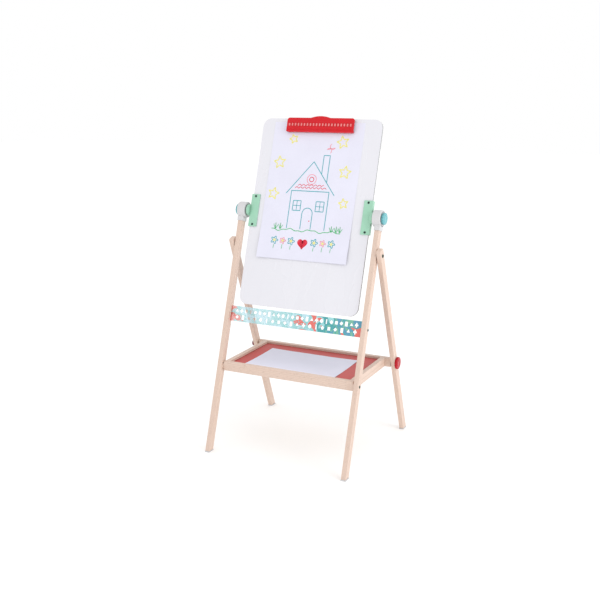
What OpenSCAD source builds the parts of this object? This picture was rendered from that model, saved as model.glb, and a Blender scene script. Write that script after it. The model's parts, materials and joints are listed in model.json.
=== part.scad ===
// Folding kids easel: a flip board between two leaning front legs, two folding rear legs and a tray.
// X runs across the easel, +Y points to the back and +Z points up. The floor is z = 0.

/* [Stance] */
// Floor depth from the front feet to the rear feet
stance_d = 463; // [380:1:520]
// Width over the outer faces of the front legs
frame_w = 465; // [456:1:560]
// Lean of the front legs from upright, in degrees
front_lean = 18; // [15:0.5:20]
// Lean of the rear legs from upright, in degrees
rear_lean = 21.5; // [19:0.5:25]
// Distance up the front leg from the floor to the board's pivot
axis_run = 752; // [700:1:910]

/* [Legs] */
// Thickness of a front leg across the easel
front_leg_t = 15; // [12:0.5:18]
// Depth of a front leg, front to back
front_leg_d = 22; // [18:0.5:30]
// Thickness of a rear leg across the easel
rear_leg_t = 14; // [12:0.5:20]
// Depth of a rear leg, front to back
rear_leg_d = 24; // [20:0.5:30]
// Gap between a front leg and the rear leg beside it
leg_gap = 2.5; // [2.5:0.5:8]
// How far a rear leg runs past its pivot
rear_leg_over = 20; // [14:0.5:30]
// Corner radius at the top of a rear leg
rear_top_r = 5; // [1:0.5:7]
// Height of a foot pad
pad_h = 3; // [2:0.5:6]
// How far a foot pad stands out round its leg
pad_lip = 0.8; // [0:0.1:1.5]

/* [Board] */
// Width of the board
board_w = 392; // [320:1:400]
// Length of the board along its slope
board_l = 578; // [480:1:580]
// Thickness of the board's core
core_t = 4.8; // [4:0.2:8]
// Thickness of each writing face
skin_t = 0.6; // [0.4:0.1:1.5]
// Corner radius of the board
corner_r = 26; // [10:1:50]
// Distance from the pivot axis back to the board's front face
board_setback = 1.3; // [1:0.1:4]

/* [Brackets] */
// Height of a bracket along the board's edge
bracket_h = 100; // [80:1:140]
// Width of a bracket plate on the board's face
bracket_w = 28; // [22:1:40]
// Thickness of the bracket plates
bracket_t = 3.6; // [2.5:0.1:5]
// Radius of the bracket's hub
hub_r = 17; // [12:0.5:22]
// Distance between the two screws of a bracket
bracket_screw_pitch = 87; // [60:1:110]
// Radius of a bracket screw
bracket_screw_r = 2; // [1.5:0.1:3]
// Radius of a bracket screw's head
bracket_head_r = 3.4; // [3:0.1:6]
// Height of a bracket screw's head
bracket_head_h = 1.6; // [1:0.1:3]
// Thickness of the friction washer
friction_t = 1.6; // [1:0.1:3]
// Radius of the friction washer
friction_r = 16; // [10:0.5:21]

/* [Leg caps and knobs] */
// Radius of a leg cap's round housing
cap_r = 24.5; // [20:0.5:32]
// Wall of the leg cap's sleeve
cap_wall = 2; // [1.5:0.1:3]
// Wall of the cap's round housing on the board's side
cap_boss = 8; // [3:0.5:9]
// How far the sleeve reaches below the pivot axis
cap_sleeve_l = 36; // [32:1:70]
// How far below the pivot axis the leg ends inside the cap
leg_end_drop = 17; // [10:1:25]
// Radius of the pivot stud
stud_r = 3; // [2:0.1:5]
// Wall of the bracket behind the stud's end
stud_wall = 2.4; // [1:0.1:3.2]
// Radius of a blue knob
knob_r = 17.5; // [12:0.5:24]
// Thickness of a blue knob
knob_t = 10; // [9:0.5:18]
// Number of grip grooves round a knob
knob_grooves = 12; // [6:1:20]
// Radius of one grip groove
groove_r = 2.2; // [1:0.1:3]
// Radius of a knob's threaded insert
insert_r = 5; // [4:0.1:8]
// Length of a knob's threaded insert
insert_l = 7; // [5:0.5:8]

/* [Clip] */
// Width of the clip
clip_w = 219; // [160:1:280]
// Height of the clip
clip_h = 43; // [38:0.5:50]
// Thickness of the lever's plate
lever_t = 3; // [2:0.1:4]
// Distance from the board's face to the back of the lever's plate
lever_gap = 9.3; // [8.5:0.1:12]
// Rise of the thumb hump over the lever's top edge
hump_rise = 5.5; // [2:0.5:8]
// Half the width of the thumb hump
hump_half = 32; // [20:1:45]
// Number of ribs along the lever
rib_count = 21; // [9:2:31]
// Width of one rib
rib_w = 4; // [2:0.5:6]
// Radius of the hinge pin
pin_r = 1.5; // [1:0.1:2]
// Height of the hinge pin over the clip's lower edge
pin_up = 22; // [18:0.5:24]

/* [Sheets] */
// Margin from the board's sides to the paper
paper_side = 47.5; // [40:0.5:90]
// Margin from the board's lower edge to the paper
paper_foot = 147; // [20:1:270]
// Sideways shift of the paper from the board's middle
paper_shift = -6.5; // [-10:0.5:10]
// Thickness of the paper as modelled
paper_t = 0.4; // [0.2:0.1:0.6]
// How far the paper's top edge lies below the board's top edge
paper_drop = 11; // [11:1:20]
// Margin from the tray's side rails to its sheet
liner_side = 49.5; // [20:0.5:80]
// Margin from the tray's rear rail to its sheet
liner_back_gap = 48; // [10:1:80]
// Gap between the tray's front rail and its sheet
liner_front_gap = 5; // [1:1:20]
// Sideways shift of the sheet in the tray
liner_shift = -5; // [-15:1:15]

/* [Stencil] */
// Height of the stencil bar along the legs' slope
stencil_h = 46.5; // [36:0.5:60]
// Thickness of the stencil bar
stencil_t = 3.5; // [2:0.5:5]
// Gap along the slope between the board's lower edge and the stencil bar
stencil_gap = 9.5; // [8:0.5:30]
// Cut-outs in the upper row
upper_cuts = 26; // [12:1:30]
// Cut-outs in the lower row
lower_cuts = 20; // [10:1:26]
// Height of one cut-out
cut_h = 14; // [6:0.5:14]
// Height between the two rows of cut-outs
cut_row_pitch = 20; // [16:0.5:26]
// Radius of a stencil screw
stencil_screw_r = 1.6; // [1.2:0.1:2.5]

/* [Tray] */
// Height of the tray's rim over the floor
tray_top = 265; // [230:1:300]
// Gap between the tray's side rails and the front legs
tray_gap = 3.5; // [1:0.5:30]
// Height of the tray's rails
rail_h = 28; // [22:1:40]
// Thickness of the tray's rails
rail_t = 15; // [12:0.5:20]
// How far the tray runs in front of its pivot bolts
tray_nose = 4; // [0:0.5:10]
// Depth of the tray inside, from the rim to the base
tray_depth = 7; // [5:0.5:12]
// Thickness of the tray's base
tray_base_t = 3; // [2:0.5:4]
// Depth of the groove that holds the base
groove_d = 5; // [3:0.5:7]
// Radius of the tray's bolts
tray_bolt_r = 3; // [2:0.1:4]
// Depth that a pivot bolt reaches into a side rail
tray_bolt_in = 12; // [8:0.5:13]
// Radius of the tray's spacers
spacer_r = 8; // [6:0.5:12]
// Radius of the red knob
red_knob_r = 19; // [14:0.5:24]
// Thickness of the red knob
red_knob_t = 9.5; // [7:0.5:14]
// Radius of the small bolt cap on the left
bolt_cap_r = 10; // [7:0.5:14]

/* [Pivot of the rear legs] */
// Radius of the rear legs' pivot bolts
pivot_r = 3; // [2:0.1:4]
// Radius of a pivot bolt's head
pivot_head_r = 5; // [4.5:0.5:10]
// Height of a pivot bolt's head
pivot_head_h = 2.6; // [2:0.1:5]
// Radius of a pivot washer
washer_r = 9; // [6:0.5:11]
// Radius of the threaded inserts that the pivot bolts go into
pivot_insert_r = 4.5; // [4:0.1:6]

/* [Fits] */
// Radial clearance of a shaft that turns in a hole
run_fit = 0.05; // [0.02:0.01:0.1]
// Clearance of pieces that are put together by hand
slip_fit = 0.15; // [0.05:0.05:0.4]
// Gap between flat faces that turn past each other
face_gap = 0.3; // [0.2:0.1:0.6]

/* [Hidden] */
$fn = 64;

// Extra length of a cutting solid past the face it cuts
past = 1;

// Places across the easel, on the right-hand side
leg_out = frame_w / 2;
leg_in = leg_out - front_leg_t;
rear_in = leg_out + leg_gap;
rear_out = rear_in + rear_leg_t;
cap_in = leg_in - cap_boss;
sleeve_in = leg_in - cap_wall;
cap_out = leg_out + cap_wall;
hub_out = cap_in - face_gap - friction_t;
bracket_side = board_w / 2 + slip_fit;
bracket_out = bracket_side + bracket_t;
stud_start = bracket_side + stud_wall;
tray_side = leg_in - tray_gap;
tray_inner = tray_side - rail_t;

// Heights and depths of the pivots, from the middle lines of the legs
function front_mid_y(z) = -stance_d / 2 + front_leg_d / 2 / cos(front_lean) + z * tan(front_lean);
function rear_mid_y(z) = stance_d / 2 - rear_leg_d / 2 / cos(rear_lean) - z * tan(rear_lean);
pivot_z = (rear_mid_y(0) - front_mid_y(0)) / (tan(front_lean) + tan(rear_lean));
pivot_y = front_mid_y(pivot_z);
tray_axis_z = tray_top - rail_h / 2;
tray_axis_y = front_mid_y(tray_axis_z);
rear_bolt_y = rear_mid_y(tray_axis_z);

// The same pivots as distances up each leg
function run_front(z) = (z + front_leg_d / 2 * sin(front_lean)) / cos(front_lean);
function run_rear(z) = (z + rear_leg_d / 2 * sin(rear_lean)) / cos(rear_lean);

// Faces of the board, counted back from the pivot axis
face_front = board_setback;
core_front = face_front + skin_t;
core_back = core_front + core_t;
face_back = core_back + skin_t;
board_half = board_l / 2;

// Clip heights, counted up the board from the pivot axis
clip_low = board_half - clip_h;
clip_pin_v = clip_low + pin_up;
lever_back = face_front - lever_gap;
lever_front = lever_back - lever_t;
clip_pin_u = lever_back + lever_t;
clip_half = clip_w / 2;
lip_h = 4;
lever_wall = 2.5;
ear_in = 12;
ear_x = clip_half - ear_in;
ear_t = 3;
ear_r = 2.6;
ear_bevel = ear_r * cos(45);
lug_t = 4;
lug_r = 3;
base_over_paper = 1;
base_v0 = board_half - paper_drop + base_over_paper;
base_t = 2;
base_screw_x = 80;
base_screw_r = 1.5;
base_head_r = 2.8;
base_head_h = 1;
spring_x = 40;
spring_wire_d = 0.9;
spring_turns = 6;
spring_pitch = 1.05;
spring_leg = 7;
spring_valley = spring_wire_d / 3;
cheek_clear = 5.8;
rib_h = 9;
rib_out = 1;
rib_top = 26;
rib_margin = 9;
ridge_h = 2;
ridge_top = 10;

// Small hardware
cap_screw_r = 1.7;
cap_screw_head_r = 3.4;
cap_screw_head_h = 1.8;
cap_screw_l = 16;
cap_screw_up = 10;
stencil_head_r = 3.6;
stencil_head_h = 1.8;
stencil_boss_l = 9;
stencil_boss_d = 9;
stencil_boss_h = 16;
stencil_screw_bite = 7;
tray_head_r = 4;
tray_head_h = 1.8;
pivot_insert_l = 11;
pivot_blind = 2;
corner_screw_r = 1.8;
corner_screw_head_r = 3.5;
corner_screw_head_h = 2;
corner_screw_l = 34;
corner_screw_up = 6;
rail_insert_r = 4.5;
rail_insert_l = 14;
rear_rail_short = 2.5;
bolt_short = 1.1;
knob_face_r = 11;
knob_face_t = 1.2;

// Tray faces and the middles of its corners
base_top = tray_top - tray_depth;
tray_front = tray_axis_y - tray_nose;
rear_rail_front = rear_bolt_y - rail_t / 2;
rear_rail_back = rear_rail_front + rail_t;
rear_rail_end = rear_in - rear_rail_short;
corner_x = tray_side - rail_t / 2;
corner_y = tray_front + rail_t / 2;
corner_z = tray_top - rail_h + corner_screw_up;

// Stencil place up the front leg
stencil_top = axis_run - board_half - stencil_gap;
stencil_low = stencil_top - stencil_h;
stencil_front = front_leg_d / 2 + board_setback;
stencil_back = stencil_front + stencil_t;
stencil_half = leg_in;
stencil_mid = (stencil_top + stencil_low) / 2;
stencil_margin = 12;
stencil_screw_y = stencil_front + stencil_boss_d / 2;

// Cut-out shapes, as shares of a cut-out's height
cut_kinds = 8;
cut_step = 3;
cut_round = 0.85;
cut_square = 0.72;
cut_triangle = 1;
cut_diamond = 0.95;
cut_bar = 0.36;

// Moves its children from the front leg's own frame: y is depth from its front face, z runs up it
module in_front_leg() {
    translate([0, -stance_d / 2, 0]) rotate([-front_lean, 0, 0]) children();
}

// Moves its children from the board's frame: its origin is the pivot axis
module in_board() {
    in_front_leg() translate([0, front_leg_d / 2, axis_run]) children();
}

// Moves its children from the rear leg's own frame: y is depth from its rear face
module in_rear_leg() {
    translate([0, stance_d / 2, 0]) rotate([rear_lean, 0, 0]) children();
}

module on_left() {
    mirror([1, 0, 0]) children();
}

module on_both() {
    children();
    on_left() children();
}

module slab(x, y, z) {
    translate([x[0], y[0], z[0]]) cube([x[1] - x[0], y[1] - y[0], z[1] - z[0]]);
}

module rod_x(x, r, y, z) {
    translate([x[0], y, z]) rotate([0, 90, 0]) cylinder(h = x[1] - x[0], r = r);
}

module rod_y(y, r, x, z) {
    translate([x, y[0], z]) rotate([-90, 0, 0]) cylinder(h = y[1] - y[0], r = r);
}

module ring_x(x, r, bore, y, z) {
    difference() {
        rod_x(x, r, y, z);
        rod_x([x[0] - past, x[1] + past], bore, y, z);
    }
}

// A prism along X from an outline of [y, z] points
module prism_x(x, outline) {
    translate([x[0], 0, 0]) rotate([90, 0, 90]) linear_extrude(x[1] - x[0]) polygon(outline);
}

// A plate with round corners, across the board's frame
module round_plate(w, l, y, r) {
    slab([-w / 2, w / 2], y, [-l / 2 + r, l / 2 - r]);
    slab([-w / 2 + r, w / 2 - r], y, [-l / 2, l / 2]);
    for (sx = [-1, 1], sz = [-1, 1]) rod_y(y, r, sx * (w / 2 - r), sz * (l / 2 - r));
}

// Outline of a leg between a level cut near the floor and a square end
function floor_cut(y, lean, h) = (h + y * sin(lean)) / cos(lean);

module front_leg() {
    color("burlywood") in_front_leg() difference() {
        prism_x([leg_in, leg_out], [
            [0, floor_cut(0, front_lean, pad_h)],
            [front_leg_d, floor_cut(front_leg_d, front_lean, pad_h)],
            [front_leg_d, axis_run - leg_end_drop],
            [0, axis_run - leg_end_drop]
        ]);
        rod_x([leg_in - past, leg_out + past], tray_bolt_r, front_leg_d / 2, run_front(tray_axis_z));
        rod_x([leg_in + pivot_blind, leg_out + past], pivot_r, front_leg_d / 2, run_front(pivot_z));
        rod_x([leg_out - pivot_insert_l, leg_out + past], pivot_insert_r,
            front_leg_d / 2, run_front(pivot_z));
        rod_x([leg_in - past, leg_out + past], stencil_screw_r, stencil_screw_y, stencil_mid);
        rod_y([front_leg_d + cap_wall - cap_screw_l, front_leg_d + past], cap_screw_r,
            (leg_in + leg_out) / 2, axis_run - cap_sleeve_l + cap_screw_up);
    }
}

module foot_pad(x, d, lean) {
    lip = pad_lip * cos(lean);
    prism_x([x[0] - pad_lip, x[1] + pad_lip], [
        [-lip, floor_cut(-lip, lean, 0)],
        [d + lip, floor_cut(d + lip, lean, 0)],
        [d + lip, floor_cut(d + lip, lean, pad_h)],
        [-lip, floor_cut(-lip, lean, pad_h)]
    ]);
}

module front_foot_pads() {
    color("gainsboro") on_both() in_front_leg() foot_pad([leg_in, leg_out], front_leg_d, front_lean);
}

module leg_cap() {
    half = front_leg_d / 2;
    color("white") in_board() difference() {
        union() {
            rod_x([cap_in, cap_out], cap_r, 0, 0);
            slab([sleeve_in, cap_out], [-half - cap_wall, half + cap_wall], [-cap_sleeve_l, 0]);
        }
        slab([leg_in, leg_out], [-half, half], [-cap_sleeve_l - past, -leg_end_drop]);
        rod_x([cap_in - past, cap_out + past], stud_r + run_fit, 0, 0);
        rod_y([half - past, half + cap_wall + past], cap_screw_r,
            (leg_in + leg_out) / 2, cap_screw_up - cap_sleeve_l);
    }
}

module cap_screws() {
    face = front_leg_d / 2 + cap_wall;
    color("silver") on_both() in_board() {
        rod_y([face - cap_screw_l, face + past / 2], cap_screw_r,
            (leg_in + leg_out) / 2, cap_screw_up - cap_sleeve_l);
        rod_y([face, face + cap_screw_head_h], cap_screw_head_r,
            (leg_in + leg_out) / 2, cap_screw_up - cap_sleeve_l);
    }
}

// Simple shapes for the stencil's cut-outs, picked in turn
module cut_shape(kind, h) {
    if (kind == 0) circle(d = h * cut_round);
    if (kind == 1) square(h * cut_square, center = true);
    if (kind == 2) rotate(90) circle(d = h * cut_triangle, $fn = 3);
    if (kind == 3) square([h * cut_bar, h], center = true);
    if (kind == 4) circle(d = h * cut_diamond, $fn = 4);
    if (kind == 5) {
        square([h * cut_round, h * cut_bar], center = true);
        square([h * cut_bar, h], center = true);
    }
    if (kind == 6) circle(d = h * cut_round, $fn = 6);
    if (kind == 7) square([h * cut_square, h], center = true);
}

module cut_row(count, z) {
    span = 2 * (stencil_half - stencil_margin);
    pitch = span / count;
    for (i = [0 : count - 1]) {
        translate([-span / 2 + pitch * (i + 0.5), stencil_back + past, z]) rotate([90, 0, 0])
            linear_extrude(stencil_t + 2 * past) cut_shape((i * cut_step + count) % cut_kinds, cut_h);
    }
}

module stencil_bar() {
    boss_y = [stencil_front, stencil_front + stencil_boss_d];
    boss_z = [stencil_mid - stencil_boss_h / 2, stencil_mid + stencil_boss_h / 2];
    color("mediumturquoise") in_front_leg() difference() {
        union() {
            slab([-stencil_half, stencil_half], [stencil_front, stencil_back], [stencil_low, stencil_top]);
            on_both() slab([stencil_half - stencil_boss_l, stencil_half], boss_y, boss_z);
        }
        cut_row(upper_cuts, stencil_mid + cut_row_pitch / 2);
        cut_row(lower_cuts, stencil_mid - cut_row_pitch / 2);
        on_both() rod_x([stencil_half - stencil_screw_bite, stencil_half + past], stencil_screw_r,
            stencil_screw_y, stencil_mid);
    }
}

module stencil_screws() {
    color("dimgray") on_both() in_front_leg() {
        rod_x([stencil_half - stencil_screw_bite, leg_out + stencil_head_h], stencil_screw_r,
            stencil_screw_y, stencil_mid);
        rod_x([leg_out, leg_out + stencil_head_h], stencil_head_r, stencil_screw_y, stencil_mid);
    }
}

module tray_pivot_bolts() {
    color("gray") on_both() {
        rod_x([tray_side - tray_bolt_in, leg_out + tray_head_h], tray_bolt_r, tray_axis_y, tray_axis_z);
        rod_x([leg_out, leg_out + tray_head_h], tray_head_r, tray_axis_y, tray_axis_z);
    }
}

module tray_spacers() {
    color("wheat") on_both()
        ring_x([tray_side + face_gap, leg_in], spacer_r, tray_bolt_r, tray_axis_y, tray_axis_z);
}

module rear_pivot_bolts() {
    color("gray") on_both() {
        rod_x([leg_in + pivot_blind, rear_out + pivot_head_h], pivot_r, pivot_y, pivot_z);
        rod_x([rear_out + face_gap, rear_out + pivot_head_h], pivot_head_r, pivot_y, pivot_z);
    }
}

module rear_pivot_washers() {
    color("silver") on_both()
        ring_x([leg_out, rear_in - face_gap], washer_r, pivot_r, pivot_y, pivot_z);
}

module rear_pivot_inserts() {
    color("gold") on_both()
        ring_x([leg_out - pivot_insert_l, leg_out], pivot_insert_r, pivot_r, pivot_y, pivot_z);
}

// Screw holes of the brackets, through the board
module bracket_holes(y) {
    for (sx = [-1, 1], sz = [-1, 1])
        rod_y(y, bracket_screw_r, sx * (bracket_out - bracket_w / 2), sz * bracket_screw_pitch / 2);
}

module base_screw_holes(y) {
    for (sx = [-1, 1]) rod_y(y, base_screw_r, sx * base_screw_x, (base_v0 + board_half) / 2);
}

module board_plate(y) {
    difference() {
        round_plate(board_w, board_l, y, corner_r);
        bracket_holes([y[0] - past, y[1] + past]);
        base_screw_holes([y[0] - past, y[1] + past]);
    }
}

module board_core() {
    color("dimgray") in_board() board_plate([core_front, core_back]);
}

module whiteboard_face() {
    color("white") in_board() board_plate([face_front, core_front]);
}

module chalkboard_face() {
    color("darkslategray") in_board() board_plate([core_back, face_back]);
}

// Right-hand bracket: a channel over the board's edge with a round hub on its side
module bracket() {
    inner = bracket_out - bracket_w;
    half = bracket_h / 2;
    color("mediumaquamarine") in_board() difference() {
        union() {
            slab([inner, bracket_out], [face_front - bracket_t, face_front], [-half, half]);
            slab([inner, bracket_out], [face_back, face_back + bracket_t], [-half, half]);
            slab([bracket_side, bracket_out], [face_front - bracket_t, face_back + bracket_t], [-half, half]);
            rod_x([bracket_side + bracket_t / 2, hub_out], hub_r, 0, 0);
        }
        bracket_holes([face_front - bracket_t - past, face_back + bracket_t + past]);
        rod_x([stud_start, hub_out + past], stud_r, 0, 0);
        slab([bracket_side - past, bracket_side], [face_front, face_back], [-half - past, half + past]);
    }
}

module bracket_screws() {
    front = face_front - bracket_t;
    back = face_back + bracket_t;
    color("darkslategray") in_board()
        for (sx = [-1, 1], sz = [-1, 1]) {
            x = sx * (bracket_out - bracket_w / 2);
            z = sz * bracket_screw_pitch / 2;
            rod_y([front - bracket_head_h, back + bracket_head_h], bracket_screw_r, x, z);
            rod_y([front - bracket_head_h, front], bracket_head_r, x, z);
            rod_y([back, back + bracket_head_h], bracket_head_r, x, z);
        }
}

module pivot_studs() {
    color("silver") on_both() in_board()
        rod_x([stud_start, cap_out + face_gap + insert_l], stud_r, 0, 0);
}

module friction_washers() {
    color("dimgray") on_both() in_board() ring_x([hub_out, hub_out + friction_t], friction_r, stud_r, 0, 0);
}

// Ear that carries the hinge pin, standing on the clip's base
module clip_ear(x) {
    prism_x(x, [
        [clip_pin_u - ear_r, clip_pin_v],
        [clip_pin_u - ear_bevel, clip_pin_v - ear_bevel],
        [clip_pin_u, clip_pin_v - ear_r],
        [clip_pin_u + ear_bevel, clip_pin_v - ear_bevel],
        [face_front - base_t, base_v0],
        [face_front, base_v0],
        [face_front, board_half],
        [face_front - base_t, board_half],
        [clip_pin_u - ear_bevel, clip_pin_v + ear_bevel]
    ]);
}

module clip_base() {
    color("firebrick") in_board() difference() {
        union() {
            slab([-ear_x, ear_x], [face_front - base_t, face_front], [base_v0, board_half]);
            on_both() clip_ear([ear_x - ear_t, ear_x]);
        }
        rod_x([-ear_x - past, ear_x + past], pin_r, clip_pin_u, clip_pin_v);
        base_screw_holes([face_front - base_t - past, face_front + past]);
    }
}

module clip_base_screws() {
    front = face_front - base_t;
    color("silver") in_board() for (sx = [-1, 1]) {
        rod_y([front - base_head_h, core_back], base_screw_r, sx * base_screw_x, (base_v0 + board_half) / 2);
        rod_y([front - base_head_h, front], base_head_r, sx * base_screw_x, (base_v0 + board_half) / 2);
    }
}

module clip_hinge_pin() {
    color("silver") in_board() rod_x([-ear_x - ear_t / 2, ear_x + ear_t / 2], pin_r, clip_pin_u, clip_pin_v);
}

// Torsion springs: turns of wire side by side on the pin, with one leg up to the base
module clip_springs() {
    bore = pin_r + slip_fit;
    ring = bore + spring_wire_d;
    span = (spring_turns - 1) * spring_pitch + spring_wire_d;
    color("silver") on_both() in_board() difference() {
        union() {
            for (i = [0 : spring_turns - 1])
                rod_x([spring_x + i * spring_pitch, spring_x + i * spring_pitch + spring_wire_d],
                    ring, clip_pin_u, clip_pin_v);
            rod_x([spring_x, spring_x + span], ring - spring_valley, clip_pin_u, clip_pin_v);
            translate([spring_x + spring_wire_d / 2, clip_pin_u + ring - spring_wire_d / 2, clip_pin_v])
                cylinder(h = spring_leg, d = spring_wire_d);
        }
        rod_x([spring_x - past, spring_x + span + past], bore, clip_pin_u, clip_pin_v);
    }
}

// Lug that lets the lever turn on the pin
module clip_lug(x) {
    slab(x, [lever_back - past / 2, clip_pin_u], [clip_pin_v - lug_r, clip_pin_v + lug_r]);
    rod_x(x, lug_r, clip_pin_u, clip_pin_v);
}

module clip_lever() {
    lug_x = ear_x - ear_t - face_gap - lug_t;
    lip_back = face_front - paper_t - face_gap / 2;
    cheek_back = face_front - cheek_clear;
    hump_r = (hump_half * hump_half + hump_rise * hump_rise) / (2 * hump_rise);
    rib_span = clip_w - 2 * rib_margin;
    lever_x = [-clip_half, clip_half];
    lever_z = [clip_low, board_half];
    color("crimson") in_board() difference() {
        union() {
            slab(lever_x, [lever_front, lever_back], lever_z);
            slab(lever_x, [lever_front, lip_back], [clip_low, clip_low + lip_h]);
            on_both() slab([clip_half - lever_wall, clip_half], [lever_front, cheek_back], lever_z);
            intersection() {
                rod_y([lever_front, lever_back], hump_r, 0, board_half + hump_rise - hump_r);
                slab([-hump_half, hump_half], [lever_front - past, lever_back + past],
                    [board_half - past, board_half + hump_rise + past]);
            }
            on_both() clip_lug([lug_x, lug_x + lug_t]);
            for (i = [0 : rib_count - 1]) {
                x = (i / (rib_count - 1) - 0.5) * rib_span;
                slab([x - rib_w / 2, x + rib_w / 2], [lever_front - rib_out, lever_back],
                    [clip_low + rib_top - rib_h, clip_low + rib_top]);
            }
            slab([-clip_half + past, clip_half - past], [lever_front - rib_out / 2, lever_back],
                [clip_low + ridge_top - ridge_h, clip_low + ridge_top]);
        }
        rod_x([-clip_half + lever_wall, clip_half - lever_wall], pin_r + run_fit, clip_pin_u, clip_pin_v);
    }
}

module paper_sheet() {
    half = board_w / 2 - paper_side;
    color("whitesmoke") in_board()
        slab([paper_shift - half, paper_shift + half],
            [face_front - paper_t, face_front], [paper_foot - board_half, board_half - paper_drop]);
}

// A hand knob on X, with grip grooves and a raised round face
module grip_knob(x, r) {
    rod_x([x[0], x[1] - knob_face_t], r, 0, 0);
    rod_x([x[0], x[1]], knob_face_r, 0, 0);
}

module grip_grooves(x, r) {
    for (i = [0 : knob_grooves - 1])
        rotate([i * 360 / knob_grooves, 0, 0])
            rod_x([x[0] - past, x[1] + past], groove_r, r + groove_r / 2, 0);
}

module blue_knob() {
    x = [cap_out + face_gap, cap_out + face_gap + knob_t];
    color("mediumturquoise") in_board() difference() {
        grip_knob(x, knob_r);
        grip_grooves(x, knob_r);
        rod_x([x[0] - past, x[0] + insert_l], insert_r, 0, 0);
        rod_x([x[0] - past, x[0] + insert_l + face_gap], stud_r, 0, 0);
    }
}

module blue_knob_insert() {
    x = cap_out + face_gap;
    color("gold") in_board() ring_x([x, x + insert_l], insert_r, stud_r + run_fit, 0, 0);
}

module rear_leg() {
    pivot = run_rear(pivot_z);
    top = pivot + rear_leg_over;
    x = [rear_in, rear_out];
    color("burlywood") in_rear_leg() difference() {
        union() {
            prism_x(x, [
                [-rear_leg_d, floor_cut(-rear_leg_d, -rear_lean, pad_h)],
                [0, floor_cut(0, -rear_lean, pad_h)],
                [0, top - rear_top_r],
                [-rear_leg_d, top - rear_top_r]
            ]);
            slab(x, [rear_top_r - rear_leg_d, -rear_top_r], [pivot, top]);
            for (y = [rear_top_r - rear_leg_d, -rear_top_r]) rod_x(x, rear_top_r, y, top - rear_top_r);
        }
        rod_x([rear_in - past, rear_out + past], pivot_r + run_fit, -rear_leg_d / 2, pivot);
        rod_x([rear_in - past, rear_out + past], tray_bolt_r + run_fit,
            -rear_leg_d / 2, run_rear(tray_axis_z));
    }
}

module rear_foot_pad() {
    lip = pad_lip * cos(rear_lean);
    color("gainsboro") in_rear_leg() prism_x([rear_in - pad_lip, rear_out + pad_lip], [
        [-rear_leg_d - lip, floor_cut(-rear_leg_d - lip, -rear_lean, 0)],
        [lip, floor_cut(lip, -rear_lean, 0)],
        [lip, floor_cut(lip, -rear_lean, pad_h)],
        [-rear_leg_d - lip, floor_cut(-rear_leg_d - lip, -rear_lean, pad_h)]
    ]);
}

module tray_bolt_left() {
    color("maroon") on_left() {
        rod_x([rear_in - bolt_short, rear_out + past / 2], tray_bolt_r, rear_bolt_y, tray_axis_z);
        rod_x([rear_out, rear_out + face_gap + red_knob_t], bolt_cap_r, rear_bolt_y, tray_axis_z);
    }
}

module tray_knob() {
    x = [rear_out + face_gap, rear_out + face_gap + red_knob_t];
    color("crimson") translate([0, rear_bolt_y, tray_axis_z]) difference() {
        grip_knob(x, red_knob_r);
        grip_grooves(x, red_knob_r);
        rod_x([x[0] - past, x[0] + insert_l], tray_bolt_r, 0, 0);
    }
}

module tray_knob_bolt() {
    color("silver")
        rod_x([rear_in - bolt_short, rear_out + face_gap + insert_l], tray_bolt_r, rear_bolt_y, tray_axis_z);
}

// The base panel with its edges in the rails' grooves
module base_groove() {
    slab([-tray_inner - groove_d, tray_inner + groove_d],
        [tray_front + rail_t - groove_d, rear_rail_front + groove_d], [base_top - tray_base_t, base_top]);
}

module tray_front_rail() {
    color("burlywood") difference() {
        slab([-tray_inner, tray_inner], [tray_front, tray_front + rail_t], [tray_top - rail_h, tray_top]);
        base_groove();
        on_both() rod_x([tray_side - corner_screw_l, tray_side + past], corner_screw_r, corner_y, corner_z);
    }
}

module tray_rear_rail() {
    y = [rear_rail_front, rear_rail_back];
    color("burlywood") difference() {
        slab([-rear_rail_end, rear_rail_end], y, [tray_top - rail_h, tray_top]);
        base_groove();
        on_both() {
            rod_x([rear_rail_end - rail_insert_l, rear_rail_end + past], rail_insert_r,
                rear_bolt_y, tray_axis_z);
            rod_y([y[0] - past, y[1] + past], corner_screw_r, corner_x, corner_z);
            rod_y([y[1] - corner_screw_head_h, y[1] + past], corner_screw_head_r, corner_x, corner_z);
        }
    }
}

module tray_side() {
    color("burlywood") difference() {
        slab([tray_inner, tray_side], [tray_front, rear_rail_front], [tray_top - rail_h, tray_top]);
        base_groove();
        rod_x([tray_side - tray_bolt_in, tray_side + past], tray_bolt_r + run_fit, tray_axis_y, tray_axis_z);
        rod_x([tray_inner - past, tray_side + past], corner_screw_r, corner_y, corner_z);
        rod_x([tray_side - corner_screw_head_h, tray_side + past], corner_screw_head_r, corner_y, corner_z);
        rod_y([rear_rail_back - corner_screw_l, rear_rail_front + past], corner_screw_r, corner_x, corner_z);
    }
}

module tray_base() {
    color("indianred") base_groove();
}

module tray_sheet() {
    half = tray_inner - liner_side;
    color("white") slab([liner_shift - half, liner_shift + half],
        [tray_front + rail_t + liner_front_gap, rear_rail_front - liner_back_gap],
        [base_top, base_top + paper_t]);
}

module tray_screws() {
    back = rear_rail_back;
    color("silver") on_both() {
        rod_x([tray_side - corner_screw_l, tray_side], corner_screw_r, corner_y, corner_z);
        rod_x([tray_side - corner_screw_head_h, tray_side], corner_screw_head_r, corner_y, corner_z);
        rod_y([back - corner_screw_l, back], corner_screw_r, corner_x, corner_z);
        rod_y([back - corner_screw_head_h, back], corner_screw_head_r, corner_x, corner_z);
    }
}

module tray_rail_inserts() {
    color("gold") on_both() ring_x([rear_rail_end - rail_insert_l, rear_rail_end], rail_insert_r,
        tray_bolt_r + run_fit, rear_bolt_y, tray_axis_z);
}

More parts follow.
